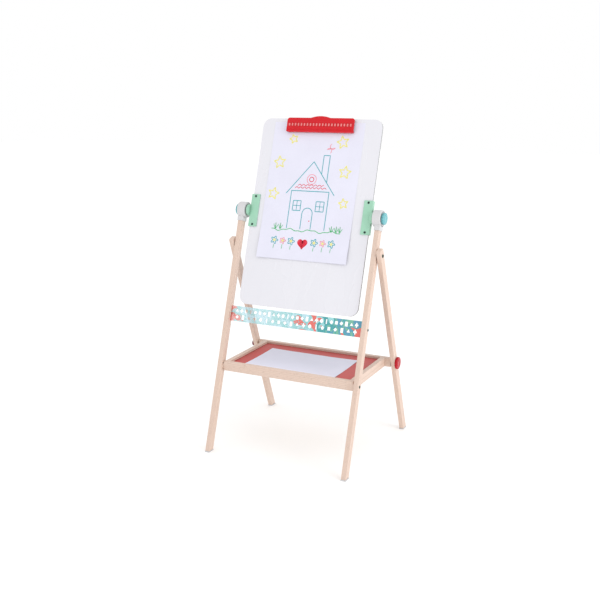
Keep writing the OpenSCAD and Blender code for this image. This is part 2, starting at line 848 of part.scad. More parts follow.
on_left() front_leg();  // front_leg_left
front_leg();  // front_leg_right
on_left() leg_cap();  // leg_cap_left
leg_cap();  // leg_cap_right
cap_screws();
stencil_bar();
stencil_screws();
front_foot_pads();
tray_pivot_bolts();
tray_spacers();
rear_pivot_bolts();
rear_pivot_washers();
rear_pivot_inserts();
board_core();
whiteboard_face();
chalkboard_face();
on_left() bracket();  // bracket_left
bracket();  // bracket_right
bracket_screws();
pivot_studs();
friction_washers();
clip_base();
clip_base_screws();
clip_hinge_pin();
clip_springs();
clip_lever();
paper_sheet();
on_left() blue_knob();  // knob_left
on_left() blue_knob_insert();  // knob_left_insert
blue_knob();  // knob_right
blue_knob_insert();  // knob_right_insert
on_left() rear_leg();  // rear_leg_left
on_left() rear_foot_pad();  // rear_foot_pad_left
tray_bolt_left();
rear_leg();  // rear_leg_right
rear_foot_pad();  // rear_foot_pad_right
tray_knob();
tray_knob_bolt();
tray_front_rail();
tray_rear_rail();
on_left() tray_side();  // tray_side_left
tray_side();  // tray_side_right
tray_base();
tray_sheet();
tray_screws();
tray_rail_inserts();
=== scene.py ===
import json
import math

import bmesh
import bpy
from mathutils import Matrix, Vector

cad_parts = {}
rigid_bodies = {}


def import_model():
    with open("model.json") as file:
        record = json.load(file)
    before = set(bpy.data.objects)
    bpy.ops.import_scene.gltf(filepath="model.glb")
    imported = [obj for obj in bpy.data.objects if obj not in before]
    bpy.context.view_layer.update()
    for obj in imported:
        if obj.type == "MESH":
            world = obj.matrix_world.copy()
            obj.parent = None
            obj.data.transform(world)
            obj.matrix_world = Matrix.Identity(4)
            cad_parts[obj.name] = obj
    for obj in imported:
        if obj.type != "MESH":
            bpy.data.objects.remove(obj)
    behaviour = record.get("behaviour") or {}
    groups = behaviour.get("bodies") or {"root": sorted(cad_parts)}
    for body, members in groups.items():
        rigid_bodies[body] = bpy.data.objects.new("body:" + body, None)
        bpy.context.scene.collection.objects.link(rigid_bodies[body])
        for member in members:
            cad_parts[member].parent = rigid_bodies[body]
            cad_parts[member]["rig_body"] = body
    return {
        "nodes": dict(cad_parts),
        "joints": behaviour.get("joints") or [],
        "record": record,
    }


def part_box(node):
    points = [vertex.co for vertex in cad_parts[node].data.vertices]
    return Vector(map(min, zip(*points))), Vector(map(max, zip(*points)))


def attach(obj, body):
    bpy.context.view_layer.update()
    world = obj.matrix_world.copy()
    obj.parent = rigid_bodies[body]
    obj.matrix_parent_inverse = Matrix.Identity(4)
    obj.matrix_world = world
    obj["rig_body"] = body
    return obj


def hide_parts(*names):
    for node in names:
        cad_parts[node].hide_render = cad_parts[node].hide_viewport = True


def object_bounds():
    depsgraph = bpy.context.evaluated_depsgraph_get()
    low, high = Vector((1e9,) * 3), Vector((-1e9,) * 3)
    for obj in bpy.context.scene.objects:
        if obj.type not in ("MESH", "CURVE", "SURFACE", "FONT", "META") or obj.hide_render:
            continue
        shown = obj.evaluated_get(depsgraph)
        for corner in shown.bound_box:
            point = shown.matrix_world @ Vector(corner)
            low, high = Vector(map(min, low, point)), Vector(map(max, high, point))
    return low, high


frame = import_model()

START_LOW, START_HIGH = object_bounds()
MM = 0.001
NODES = frame["nodes"]
JOINTS = {joint["name"]: joint for joint in frame["joints"]}
SLOTS = {part["node"]: part["material_slot"] for part in frame["record"]["subparts"]}
SIDES = {"left": -1, "right": 1}

# Camera and light
CAMERA_AZIMUTH = 26.308
CAMERA_ELEVATION = 13.572
CAMERA_DISTANCE = 2.5671
CAMERA_TARGET = Vector((-0.0164, -0.01535, 0.4518))
CAMERA_LENS = 50.8
WORLD_LIGHT = 1.0
KEY_PLACE = (3.0, -0.6, 1.6)
KEY_SIZE = 1.8
KEY_POWER = 26
FILL_PLACE = (-1.6, -2.4, 1.9)
FILL_SIZE = 2.2
FILL_POWER = 2
FLOOR_SIZE = 14
FLOOR_GLOW = 0.1
FLOOR_DROP = 0.2 * MM

# Legs, caps, brackets and board
WOOD_EDGE = 1.3 * MM
TRAY_EDGE = 1.0 * MM
REAR_TOP_R = 5 * MM
PAD_EDGE = 0.6 * MM
PAD_LIP = 0.8 * MM
CAP_EDGE = 1.8 * MM
CAP_BORE = 3.4 * MM
CAP_RIM = 3.2 * MM
CAP_DISH = 0.8 * MM
BRACKET_EDGE = 0.9 * MM
BRACKET_WALL = 3.75 * MM
BRACKET_SET_IN = 0.15 * MM
HUB_EDGE = 1.2 * MM
HUB_FACE = 5 * MM
BOARD_CORNER = 26 * MM
BOARD_RIM = 0.25 * MM
SMOOTH_ANGLE = math.radians(38)
WELD_REACH = 0.01 * MM

# Knobs
KNOB_GROOVES = 12
GROOVE_DEPTH = 1.3 * MM
KNOB_FACE_R = 12.2 * MM
KNOB_FACE_T = 1.2 * MM
CRIMSON = (0.46, 0.004, 0.016)

# Clip
CLIP_PLATE_T = 3 * MM
CLIP_RIB_OUT = 1 * MM
CLIP_LIP_H = 4 * MM
CLIP_WALL = 2.5 * MM
CLIP_CHEEK_BACK = 6.5 * MM
CLIP_HUMP_HALF = 32 * MM
CLIP_HUMP_RISE = 5.5 * MM
CLIP_CORNER = 7 * MM
CLIP_RIBS = 21
CLIP_RIB_W = 4.4 * MM
CLIP_RIB_H = 8.4 * MM
CLIP_RIB_TOP = 26 * MM
CLIP_RIB_MARGIN = 9 * MM
CLIP_RIDGE_TOP = 10 * MM
CLIP_RIDGE_H = 2 * MM
CLIP_LUG_GAP = 3.3 * MM
CLIP_LUG_T = 4 * MM
CLIP_LUG_R = 3 * MM
CLIP_LUG_ROOT = 0.4 * MM
CLIP_LUG_EDGE = 0.3 * MM
CLIP_SIDE_EDGE = 1.0 * MM
CLIP_STEP = 0.02 * MM
CLIP_DIP = 0.7 * MM
RIB_ROOT = 1.6 * MM
RIB_CORNER = 1.6 * MM
RIB_EDGE = 0.7 * MM
# Paler red of the rib tops: a painted highlight.
RIB_HIGHLIGHT = (0.80, 0.24, 0.235)

# Fasteners, as (radius, length) of the shank and (radius, height) of the head
BRACKET_HEAD = (3.4 * MM, 1.6 * MM)
BRACKET_SHANK_R = 2 * MM
CAP_SCREW = ((1.7 * MM, 14 * MM), (3.4 * MM, 1.8 * MM))
STENCIL_SCREW = ((1.6 * MM, 21 * MM), (3.6 * MM, 1.8 * MM))
TRAY_BOLT = ((3 * MM, 30 * MM), (4 * MM, 1.8 * MM))
REAR_BOLT = ((3 * MM, 29 * MM), (5 * MM, 2.3 * MM))
CORNER_SCREW = ((1.8 * MM, 30 * MM), (3.5 * MM, 0.5 * MM))
CORNER_SUNK = 0.2 * MM
RING_BORE = 3 * MM
FRICTION_EDGE = 0.4 * MM
WASHER_EDGE = 0.5 * MM
SPACER_EDGE = 0.8 * MM
DOME_EDGE = 2.2 * MM
BOLT_R = 3 * MM
BOLT_TIP_R = 2.4 * MM
BOLT_CHAMFER = 0.6 * MM
BOLT_INSIDE = 1 * MM

# Paper; SHEET_SHARE is how much of the CAD sheet's thickness is drawn
SHEET_SHARE = 0.8
PAPER_CURL = 5 * MM
PAPER_WAVE = 0.7 * MM
PAPER_UNDER_CLIP = 36 * MM
INK_W = 2.3 * MM
INK_LIFT = 0.13 * MM
LINER_CURL = 2.2 * MM
LINER_WAVE = 0.5 * MM


# ---------------------------------------------------------------- places

def lean_of(node):
    """Lean back from upright of a CAD node, from its largest face that looks to the front or back."""
    faces = [face for face in NODES[node].data.polygons if abs(face.normal.x) < 0.01]
    normal = max(faces, key=lambda face: face.area).normal.copy()
    if normal.y < 0:
        normal.negate()
    return math.atan2(-normal.z, normal.y)


def tilted(joint, node):
    """Frame on the easel's middle plane at a joint's height, leaning as a node does."""
    origin = Vector(JOINTS[joint]["pos_m"])
    origin.x = 0
    return Matrix.Translation(origin) @ Matrix.Rotation(-lean_of(node), 4, "X")


def local_box(node, place):
    """Lowest and highest corner of a CAD node, counted in the frame of place."""
    back = place.inverted()
    points = [back @ vertex.co for vertex in NODES[node].data.vertices]
    low = Vector([min(point[i] for point in points) for i in range(3)])
    high = Vector([max(point[i] for point in points) for i in range(3)])
    return low, high


def level_cut(place, y, height):
    """Distance along a tilted frame's z at which depth y lies at a height over the floor."""
    return (height - place[2][3] - place[2][1] * y) / place[2][2]


def aim(origin, direction):
    """Frame at a point with its z along a direction."""
    turn = Vector(direction).to_track_quat("Z", "Y").to_matrix().to_4x4()
    return Matrix.Translation(origin) @ turn


WORLD = Matrix.Identity(4)
BOARD = tilted("board_flip", "whiteboard_face")
REAR = tilted("rear_leg_right_fold", "rear_leg_right")
ALONG_X = Matrix.Rotation(math.radians(90), 4, "Y")
ALONG_Y = Matrix.Rotation(math.radians(-90), 4, "X")


# ---------------------------------------------------------------- shapes

def arc(radius, start, end, steps, centre=(0, 0)):
    """Points of an arc, with its angles in degrees."""
    angles = [math.radians(start + (end - start) * i / steps) for i in range(steps + 1)]
    return [(centre[0] + radius * math.cos(a), centre[1] + radius * math.sin(a)) for a in angles]


def fillet(points, radius, closed=True, steps=5):
    """An outline with each corner rounded, as far as its edges allow."""
    made = []
    for i, point in enumerate(points):
        if not closed and i in (0, len(points) - 1):
            made.append(tuple(point))
            continue
        corner = Vector(point)
        before = Vector(points[i - 1]) - corner
        after = Vector(points[(i + 1) % len(points)]) - corner
        reach = radius / math.tan(before.angle(after) / 2)
        reach = min(reach, before.length * 0.48, after.length * 0.48)
        start = corner + before.normalized() * reach
        end = corner + after.normalized() * reach
        for k in range(steps + 1):
            t = k / steps
            made.append(tuple(start * (1 - t) ** 2 + corner * 2 * t * (1 - t) + end * t * t))
    return made


def round_edges(bm, radius, segments=3, from_angle=30):
    edges = [e for e in bm.edges if e.is_manifold and e.calc_face_angle(0) > math.radians(from_angle)]
    bmesh.ops.bevel(bm, geom=edges, offset=radius, offset_type="OFFSET", segments=segments,
                    profile=0.5, affect="EDGES", clamp_overlap=True)


def prism(points, axis, span, edge=0, bm=None):
    """A solid with that outline, from span[0] to span[1] along an axis, with its edges rounded."""
    part = bmesh.new()

    def ring(distance):
        corners = []
        for point in points:
            corner = list(point)
            corner.insert(axis, distance)
            corners.append(part.verts.new(corner))
        return corners

    low, high = ring(span[0]), ring(span[1])
    part.faces.new(low)
    part.faces.new(high)
    band(part, low, high)
    bmesh.ops.recalc_face_normals(part, faces=part.faces)
    if edge:
        round_edges(part, edge)
    return part if bm is None else merge(bm, part)


def merge(bm, part):
    """Adds a second mesh to bm."""
    mesh = bpy.data.meshes.new("part")
    part.to_mesh(mesh)
    part.free()
    bm.from_mesh(mesh)
    bpy.data.meshes.remove(mesh)
    return bm


def rectangle(low, high):
    return [(low[0], low[1]), (high[0], low[1]), (high[0], high[1]), (low[0], high[1])]


def hoop(bm, place, height, radius, steps):
    """Adds a round of vertices at a height on place's z. The radius may depend on the angle."""
    made = []
    for i in range(steps):
        angle = 2 * math.pi * i / steps
        r = radius(angle) if callable(radius) else radius
        made.append(bm.verts.new(place @ Vector((r * math.cos(angle), r * math.sin(angle), height))))
    return made


def band(bm, first, second):
    """Adds the faces between two hoops."""
    for i in range(len(first)):
        j = (i + 1) % len(first)
        bm.faces.new((first[i], first[j], second[j], second[i]))


def skin(bm, hoops):
    """Adds the faces along a row of hoops, and closes both ends."""
    for first, second in zip(hoops, hoops[1:]):
        band(bm, first, second)
    bm.faces.new(list(reversed(hoops[0])))
    bm.faces.new(hoops[-1])


def turned(bm, place, rings, steps=48):
    """Adds a turned shape round place's z. A ring is (height, radius)."""
    skin(bm, [hoop(bm, place, height, radius, steps) for height, radius in rings])
    return bm


def tube(bm, place, low, high, radius, bore, edge, steps=64):
    """Adds a ring with a bore, rounded at its rims."""
    outline = fillet([(low, bore), (low, radius), (high, radius), (high, bore)], edge, steps=3)
    hoops = [hoop(bm, place, height, r, steps) for height, r in outline]
    for first, second in zip(hoops, hoops[1:] + hoops[:1]):
        band(bm, first, second)


def cross_recess(size):
    """Radius of a cross-shaped hole, by angle."""
    half = size * 0.3

    def radius(angle):
        c = abs(math.cos(angle)) + 1e-6
        s = abs(math.sin(angle)) + 1e-6
        return max(min(size / c, half / s), min(half / c, size / s))
    return radius


def hex_recess(size):
    """Radius of a six-sided hole, by angle."""

    def radius(angle):
        turn = angle % (math.pi / 3) - math.pi / 6
        return size * math.cos(math.pi / 6) / math.cos(turn)
    return radius


def screw(bm, seat, outwards, shank, head, recess):
    """Adds a screw. Its head stands on seat; shank is (radius, length), head is (radius, height)."""
    shank_r, shank_l = shank
    head_r, head_h = head
    size = head_r * 0.52
    hole = recess(size)
    floor = recess(size * 0.8)
    turned(bm, aim(seat, outwards), [
        (-shank_l, shank_r * 0.5), (-shank_l + shank_r, shank_r), (0, shank_r), (0, head_r * 0.96),
        (head_h * 0.12, head_r), (head_h * 0.45, head_r * 0.99), (head_h * 0.75, head_r * 0.88),
        (head_h * 0.93, head_r * 0.7), (head_h, size * 1.12), (head_h, hole), (head_h * 0.3, floor),
    ])


def grip(radius, depth):
    """Outline of a hand knob with soft grooves round it."""
    def at(angle):
        return radius - depth * (0.5 + 0.5 * math.cos(KNOB_GROOVES * angle)) ** 5
    return at


def knob_shape(place, radius, thickness):
    """A grip knob along place's z, with a raised and slightly dished round face."""
    rim = thickness - KNOB_FACE_T
    deep = GROOVE_DEPTH
    rings = [
        (0, grip(radius - 1.1 * MM, deep)), (0.4 * MM, grip(radius - 0.4 * MM, deep)),
        (1.2 * MM, grip(radius, deep)), (rim - 2.2 * MM, grip(radius, deep)),
        (rim - 1.2 * MM, grip(radius - 0.3 * MM, deep * 0.9)),
        (rim - 0.4 * MM, grip(radius - 1.0 * MM, deep * 0.7)),
        (rim, grip(radius - 2.2 * MM, deep * 0.35)), (rim, KNOB_FACE_R + 0.7 * MM),
        (rim + 0.3 * MM, KNOB_FACE_R), (thickness - 0.3 * MM, KNOB_FACE_R - 0.2 * MM),
        (thickness, KNOB_FACE_R - 0.7 * MM), (thickness, KNOB_FACE_R - 2 * MM),
        (thickness - 0.5 * MM, KNOB_FACE_R - 3.2 * MM), (thickness - 0.8 * MM, 2 * MM),
    ]
    return turned(bmesh.new(), place, rings, steps=180)


# ---------------------------------------------------------------- materials

def new_material(name):
    material = bpy.data.materials.new(name)
    material.use_nodes = True
    tree = material.node_tree
    tree.nodes.clear()
    output = tree.nodes.new("ShaderNodeOutputMaterial")
    shader = tree.nodes.new("ShaderNodeBsdfPrincipled")
    tree.links.new(shader.outputs["BSDF"], output.inputs["Surface"])
    return material, tree, shader


def fill(tree, socket, value):
    """Gives a socket a value, or links another node's output to it."""
    if isinstance(value, bpy.types.NodeSocket):
        tree.links.new(value, socket)
    else:
        socket.default_value = value


def add(tree, kind, inputs=None, **settings):
    node = tree.nodes.new("ShaderNode" + kind)
    for key, value in settings.items():
        setattr(node, key, value)
    for key, value in (inputs or {}).items():
        fill(tree, node.inputs[key], value)
    return node


def stretched(tree, scale=(1, 1, 1), location=(0, 0, 0)):
    coords = add(tree, "TexCoord").outputs["Object"]
    return add(tree, "Mapping", {"Vector": coords, "Location": location, "Scale": scale}).outputs["Vector"]


def noise(tree, vector, scale, detail=2, distortion=0):
    return add(tree, "TexNoise", {"Vector": vector, "Scale": scale, "Detail": detail,
                                  "Distortion": distortion}).outputs["Fac"]


def ramp(tree, factor, stops, interpolation="LINEAR"):
    node = add(tree, "ValToRGB", {"Fac": factor})
    node.color_ramp.interpolation = interpolation
    elements = node.color_ramp.elements
    elements[0].position = stops[0][0]
    elements[0].color = (*stops[0][1], 1)
    elements[1].position = stops[-1][0]
    elements[1].color = (*stops[-1][1], 1)
    for place, colour in stops[1:-1]:
        elements.new(place).color = (*colour, 1)
    return node.outputs["Color"]


def between(tree, factor, low, high, start=0, end=1):
    return add(tree, "MapRange", {"Value": factor, "From Min": start, "From Max": end,
                                  "To Min": low, "To Max": high}).outputs["Result"]


def mix(tree, factor, first, second, blend="MIX"):
    node = tree.nodes.new("ShaderNodeMix")
    node.data_type = "RGBA"
    node.blend_type = blend
    fill(tree, node.inputs[0], factor)
    fill(tree, node.inputs[6], first if isinstance(first, bpy.types.NodeSocket) else (*first, 1))
    fill(tree, node.inputs[7], second if isinstance(second, bpy.types.NodeSocket) else (*second, 1))
    return node.outputs[2]


def bump(tree, height, strength, distance=0.0004, normal=None):
    node = add(tree, "Bump", {"Height": height, "Strength": strength, "Distance": distance})
    if normal is not None:
        tree.links.new(normal, node.inputs["Normal"])
    return node.outputs["Normal"]


def edge_mask(tree, radius, most):
    """From 0 on flat faces to most close to edges."""
    soft = add(tree, "Bevel", {"Radius": radius}, samples=4).outputs["Normal"]
    flat = add(tree, "NewGeometry").outputs["True Normal"]
    same = add(tree, "VectorMath", {0: soft, 1: flat}, operation="DOT_PRODUCT").outputs["Value"]
    return between(tree, same, 0, most, start=1.0, end=0.82)


def wire(tree, shader, colour, roughness, normal):
    """Links the three sockets that each look sets."""
    for socket, source in (("Base Color", colour), ("Roughness", roughness), ("Normal", normal)):
        tree.links.new(source, shader.inputs[socket])


def shade(colour, factor):
    return tuple(min(1.0, c * factor) for c in colour)


def wood(name, seed):
    """Beech: growth rings round an axis beside the piece, fine fibres and short dark flecks."""
    light, middle, dark = (0.765, 0.605, 0.51), (0.70, 0.53, 0.44), (0.58, 0.41, 0.325)
    material, tree, shader = new_material(name)
    heart = (0.033 + 0.015 * math.sin(2.3 * seed), 0.024 + 0.012 * math.cos(1.7 * seed), 0.9 * seed)
    long = stretched(tree, (1, 1, 0.05), heart)
    rings = add(tree, "TexWave", {"Vector": long, "Scale": 88, "Distortion": 2.6, "Detail": 2,
                                  "Detail Scale": 0.3, "Detail Roughness": 0.6},
                wave_type="RINGS", rings_direction="Z", wave_profile="SAW").outputs["Fac"]
    fibre = noise(tree, stretched(tree, (1, 1, 0.03), heart), 1500, 3)
    fleck = noise(tree, stretched(tree, (1, 1, 0.13), heart), 950, 1)
    drift = noise(tree, stretched(tree, (1, 1, 0.25), heart), 16, 2)
    base = ramp(tree, rings, [(0.0, light), (0.6, middle), (0.93, dark), (1.0, light)])
    base = mix(tree, 0.45, base, ramp(tree, drift, [(0.3, middle), (0.7, light)]))
    base = mix(tree, between(tree, fibre, 0, 0.35, 0.5, 0.75), base, shade(dark, 0.9))
    base = mix(tree, between(tree, fleck, 0, 0.5, 0.64, 0.72), base, shade(dark, 0.62))
    base = mix(tree, edge_mask(tree, 1.6 * MM, 0.4), base, shade(light, 1.08))
    rough = bump(tree, rings, 0.12)
    wire(tree, shader, base, between(tree, fibre, 0.42, 0.62), bump(tree, fibre, 0.25, 0.0002, rough))
    shader.inputs["Coat Weight"].default_value = 0.08
    return material


def plastic(name, colour, gloss=(0.26, 0.42), worn=1.25, pebble=0.05, subtle=0.05, specular=0.5):
    """Moulded plastic: faint clouding, painted shade in its crevices, a fine grained surface and paler edges.
    """
    material, tree, shader = new_material(name)
    cloud = noise(tree, stretched(tree), 22, 3)
    fine = noise(tree, stretched(tree), 2200, 2)
    rub = noise(tree, stretched(tree, (1, 1, 0.2)), 160, 3, 0.6)
    base = ramp(tree, cloud, [(0.3, shade(colour, 1 - subtle)), (0.7, shade(colour, 1 + subtle))])
    # Painted shade: the colour darkens in crevices and where parts meet, by ambient occlusion.
    painted_shade_ao = add(tree, "AmbientOcclusion", {"Distance": 15 * MM}, samples=6).outputs["AO"]
    base = mix(tree, between(tree, painted_shade_ao, 0.75, 0, 0.3, 0.85), base, shade(colour, 0.38))
    base = mix(tree, edge_mask(tree, 1.2 * MM, 0.55), base, shade(colour, worn))
    soft = add(tree, "Bevel", {"Radius": 0.5 * MM}, samples=4).outputs["Normal"]
    wire(tree, shader, base, between(tree, rub, gloss[0], gloss[1], 0.3, 0.7),
         bump(tree, fine, pebble, 0.0002, soft))
    shader.inputs["Specular IOR Level"].default_value = specular
    return material


def metal(name, colour, gloss=(0.24, 0.45), cells=700):
    """Plated metal: crystals of slightly different tone, fine scratches and bright edges."""
    material, tree, shader = new_material(name)
    crystal = add(tree, "TexVoronoi", {"Vector": stretched(tree), "Scale": cells},
                  feature="F1").outputs["Color"]
    scratch = noise(tree, stretched(tree, (1, 0.08, 1)), 1600, 2)
    base = ramp(tree, scratch, [(0.3, shade(colour, 0.86)), (0.7, colour)])
    base = mix(tree, 0.12, base, crystal, "OVERLAY")
    base = mix(tree, edge_mask(tree, 0.6 * MM, 0.6), base, shade(colour, 1.3))
    wire(tree, shader, base, between(tree, scratch, gloss[0], gloss[1]), bump(tree, scratch, 0.08, 0.0001))
    shader.inputs["Metallic"].default_value = 1
    return material


def rubber(name, colour):
    material, tree, shader = new_material(name)
    speck = noise(tree, stretched(tree), 900, 3)
    dust = noise(tree, stretched(tree), 60, 3)
    base = ramp(tree, dust, [(0.35, shade(colour, 0.88)), (0.7, shade(colour, 1.08))])
    base = mix(tree, edge_mask(tree, 1 * MM, 0.4), base, shade(colour, 1.3))
    wire(tree, shader, base, between(tree, speck, 0.7, 0.95), bump(tree, speck, 0.2))
    return material


def paper(name, colour, fibres=0.16):
    material, tree, shader = new_material(name)
    fibre = noise(tree, stretched(tree), 700, 4, 0.4)
    cockle = noise(tree, stretched(tree), 11, 2)
    base = ramp(tree, cockle, [(0.3, shade(colour, 0.975)), (0.7, shade(colour, 1.015))])
    base = mix(tree, between(tree, fibre, 0, 0.05, 0.45, 0.7), base, shade(colour, 0.8))
    slow = bump(tree, cockle, 0.25, 0.002)
    wire(tree, shader, base, between(tree, fibre, 0.75, 0.95), bump(tree, fibre, fibres, 0.0001, slow))
    return material


def ink(name, colour):
    """Felt pen on paper: streaks along the stroke and a rough, dry edge."""
    material, tree, shader = new_material(name)
    streak = noise(tree, stretched(tree), 420, 3, 0.5)
    base = ramp(tree, streak, [(0.35, shade(colour, 0.85)), (0.7, shade(colour, 1.12))])
    wire(tree, shader, base, between(tree, streak, 0.6, 0.85), bump(tree, streak, 0.15, 0.0001))
    return material


def whiteboard(name):
    """Glossy white laminate with faint wiped-off marks."""
    material, tree, shader = new_material(name)
    wiped = noise(tree, stretched(tree, (1, 1, 0.35)), 12, 4, 1.2)
    orange_peel = noise(tree, stretched(tree), 240, 2)
    base = ramp(tree, wiped, [(0.3, (0.745, 0.74, 0.79)), (0.7, (0.762, 0.757, 0.805))])
    wire(tree, shader, base, between(tree, wiped, 0.16, 0.34, 0.3, 0.7),
         bump(tree, orange_peel, 0.04, 0.0002))
    shader.inputs["Coat Weight"].default_value = 0.3
    return material


def chalkboard(name):
    """Slate paint with chalk dust wiped across it."""
    material, tree, shader = new_material(name)
    wiped = noise(tree, stretched(tree, (1, 1, 0.3)), 9, 5, 1.6)
    grit = noise(tree, stretched(tree), 1400, 3)
    base = ramp(tree, wiped, [(0.35, (0.018, 0.024, 0.023)), (0.55, (0.03, 0.037, 0.036)),
                              (0.8, (0.085, 0.095, 0.093))])
    base = mix(tree, between(tree, grit, 0, 0.25, 0.55, 0.8), base, (0.2, 0.21, 0.21))
    wire(tree, shader, base, between(tree, grit, 0.75, 0.95), bump(tree, grit, 0.3, 0.0002))
    return material


def fibreboard(name):
    material, tree, shader = new_material(name)
    fibre = noise(tree, stretched(tree), 1300, 4)
    layer = noise(tree, stretched(tree, (1, 8, 1)), 90, 2)
    base = ramp(tree, fibre, [(0.3, (0.30, 0.30, 0.31)), (0.75, (0.42, 0.42, 0.43))])
    base = mix(tree, between(tree, layer, 0, 0.3), base, (0.5, 0.5, 0.51))
    wire(tree, shader, base, between(tree, fibre, 0.7, 0.9), bump(tree, fibre, 0.4, 0.0003))
    return material


def panel(name, colour):
    """Panel painted on top: brush drag, rubbed spots, painted shade in brown along the rails and bare fibre
    below.
    """
    painted_rail_shade, bare = (0.30, 0.026, 0.012), (0.42, 0.33, 0.25)
    material, tree, shader = new_material(name)
    drag = noise(tree, stretched(tree, (0.05, 1, 1)), 420, 3)
    rubbed = noise(tree, stretched(tree), 26, 5, 0.8)
    base = ramp(tree, drag, [(0.3, shade(colour, 0.88)), (0.7, shade(colour, 1.08))])
    base = mix(tree, between(tree, rubbed, 0, 0.35, 0.6, 0.75), base, shade(colour, 1.3))
    # Painted shade: brown darkening of the panel near the rails, by ambient occlusion.
    painted_shade_ao = add(tree, "AmbientOcclusion", {"Distance": 40 * MM}, samples=8).outputs["AO"]
    base = mix(tree, between(tree, painted_shade_ao, 0.95, 0, 0.55, 0.99), base, painted_rail_shade)
    normal = add(tree, "NewGeometry").outputs["Normal"]
    upwards = add(tree, "SeparateXYZ", {"Vector": normal}).outputs["Z"]
    base = mix(tree, between(tree, upwards, 1, 0, -0.5, 0.5), base, bare)
    wire(tree, shader, base, between(tree, drag, 0.4, 0.6), bump(tree, drag, 0.15, 0.0002))
    return material


def stencil_print(name):
    """Clear plastic printed with blotches whose colours change along the bar, denser to the right."""
    coral, teal, aqua = (0.80, 0.13, 0.10), (0.03, 0.34, 0.36), (0.30, 0.66, 0.68)
    sky, green, blue = (0.50, 0.76, 0.84), (0.14, 0.46, 0.32), (0.06, 0.30, 0.46)
    low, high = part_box("stencil_bar")
    material, tree, shader = new_material(name)
    coords = add(tree, "TexCoord").outputs["Object"]
    x = add(tree, "SeparateXYZ", {"Vector": coords}).outputs["X"]
    along = between(tree, x, 0, 1, low.x, high.x)
    blotch = noise(tree, stretched(tree, (1, 1, 1), (0.31, 0.0, 0.0)), 30, 1, 0.8)
    shift = between(tree, blotch, -0.17, 0.17, 0.25, 0.75)
    place = add(tree, "Math", {0: along, 1: shift}, operation="ADD").outputs["Value"]
    base = ramp(tree, place, [(0.0, coral), (0.05, aqua), (0.16, sky), (0.27, aqua), (0.38, sky),
                              (0.47, aqua), (0.57, coral), (0.66, aqua), (0.71, teal), (0.79, green),
                              (0.84, blue), (0.89, teal), (0.94, coral)], "CONSTANT")
    fine = noise(tree, stretched(tree), 900, 2)
    base = mix(tree, between(tree, fine, 0, 0.1), base, (0.9, 0.95, 0.95))
    base = mix(tree, edge_mask(tree, 0.8 * MM, 0.6), base, shade(teal, 1.6))
    tree.links.new(between(tree, along, 0.5, 0.97, 0.3, 0.75), shader.inputs["Alpha"])
    soft = add(tree, "Bevel", {"Radius": 0.4 * MM}, samples=4).outputs["Normal"]
    wire(tree, shader, base, between(tree, fine, 0.14, 0.28), bump(tree, fine, 0.03, 0.0002, soft))
    return material


def floor_material(name):
    material, tree, shader = new_material(name)
    cloud = noise(tree, stretched(tree), 0.6, 2)
    tree.links.new(ramp(tree, cloud, [(0.3, (0.97, 0.97, 0.97)), (0.7, (0.99, 0.99, 0.99))]),
                   shader.inputs["Base Color"])
    shader.inputs["Roughness"].default_value = 0.9
    shader.inputs["Emission Color"].default_value = (1, 1, 1, 1)
    shader.inputs["Emission Strength"].default_value = FLOOR_GLOW
    return material


LOOKS = {
    "beech_wood": wood("beech", 0.0),
    "white_plastic": plastic("white_plastic", (0.64, 0.63, 0.645), worn=1.1, subtle=0.02, specular=0.4),
    "stencil_plastic": stencil_print("stencil_print"),
    "grey_rubber": rubber("grey_rubber", (0.62, 0.62, 0.63)),
    "zinc_steel": metal("zinc_steel", (0.46, 0.46, 0.47)),
    "black_steel": metal("dark_steel", (0.055, 0.09, 0.08), gloss=(0.35, 0.55)),
    "board_fibre": fibreboard("fibreboard"),
    "whiteboard": whiteboard("whiteboard"),
    "chalkboard": chalkboard("chalkboard"),
    "mint_plastic": plastic("mint_plastic", (0.34, 0.62, 0.46), gloss=(0.34, 0.5)),
    "washer_rubber": rubber("washer_rubber", (0.035, 0.037, 0.04)),
    "red_plastic": plastic("red_plastic", (0.62, 0.006, 0.014), gloss=(0.14, 0.26), worn=1.3, specular=0.28),
    "blue_plastic": plastic("blue_plastic", (0.15, 0.46, 0.50), gloss=(0.2, 0.34)),
    "brass": metal("brass", (0.62, 0.45, 0.16), cells=500),
    "maroon_plastic": plastic("maroon_plastic", (0.16, 0.008, 0.022), gloss=(0.18, 0.3)),
    "red_panel": panel("red_panel", (0.56, 0.066, 0.06)),
    "paper": paper("paper", (0.76, 0.755, 0.87)),
}
INKS = {
    "teal": ink("ink_teal", (0.05, 0.40, 0.46)),
    "yellow": ink("ink_yellow", (0.86, 0.80, 0.26)),
    "red": ink("ink_red", (0.74, 0.02, 0.05)),
    "green": ink("ink_green", (0.10, 0.50, 0.20)),
    "pink": ink("ink_pink", (0.86, 0.35, 0.42)),
}


# ---------------------------------------------------------------- pieces

def dress(node):
    """Gives a CAD node its material and clean, split normals. Its mesh stays as it is."""
    obj = NODES[node]
    obj.data.materials.clear()
    obj.data.materials.append(LOOKS[SLOTS[node]])
    obj.data.polygons.foreach_set("use_smooth", [True] * len(obj.data.polygons))
    obj.modifiers.new("weld", "WELD").merge_threshold = WELD_REACH
    obj.modifiers.new("split", "EDGE_SPLIT").split_angle = SMOOTH_ANGLE


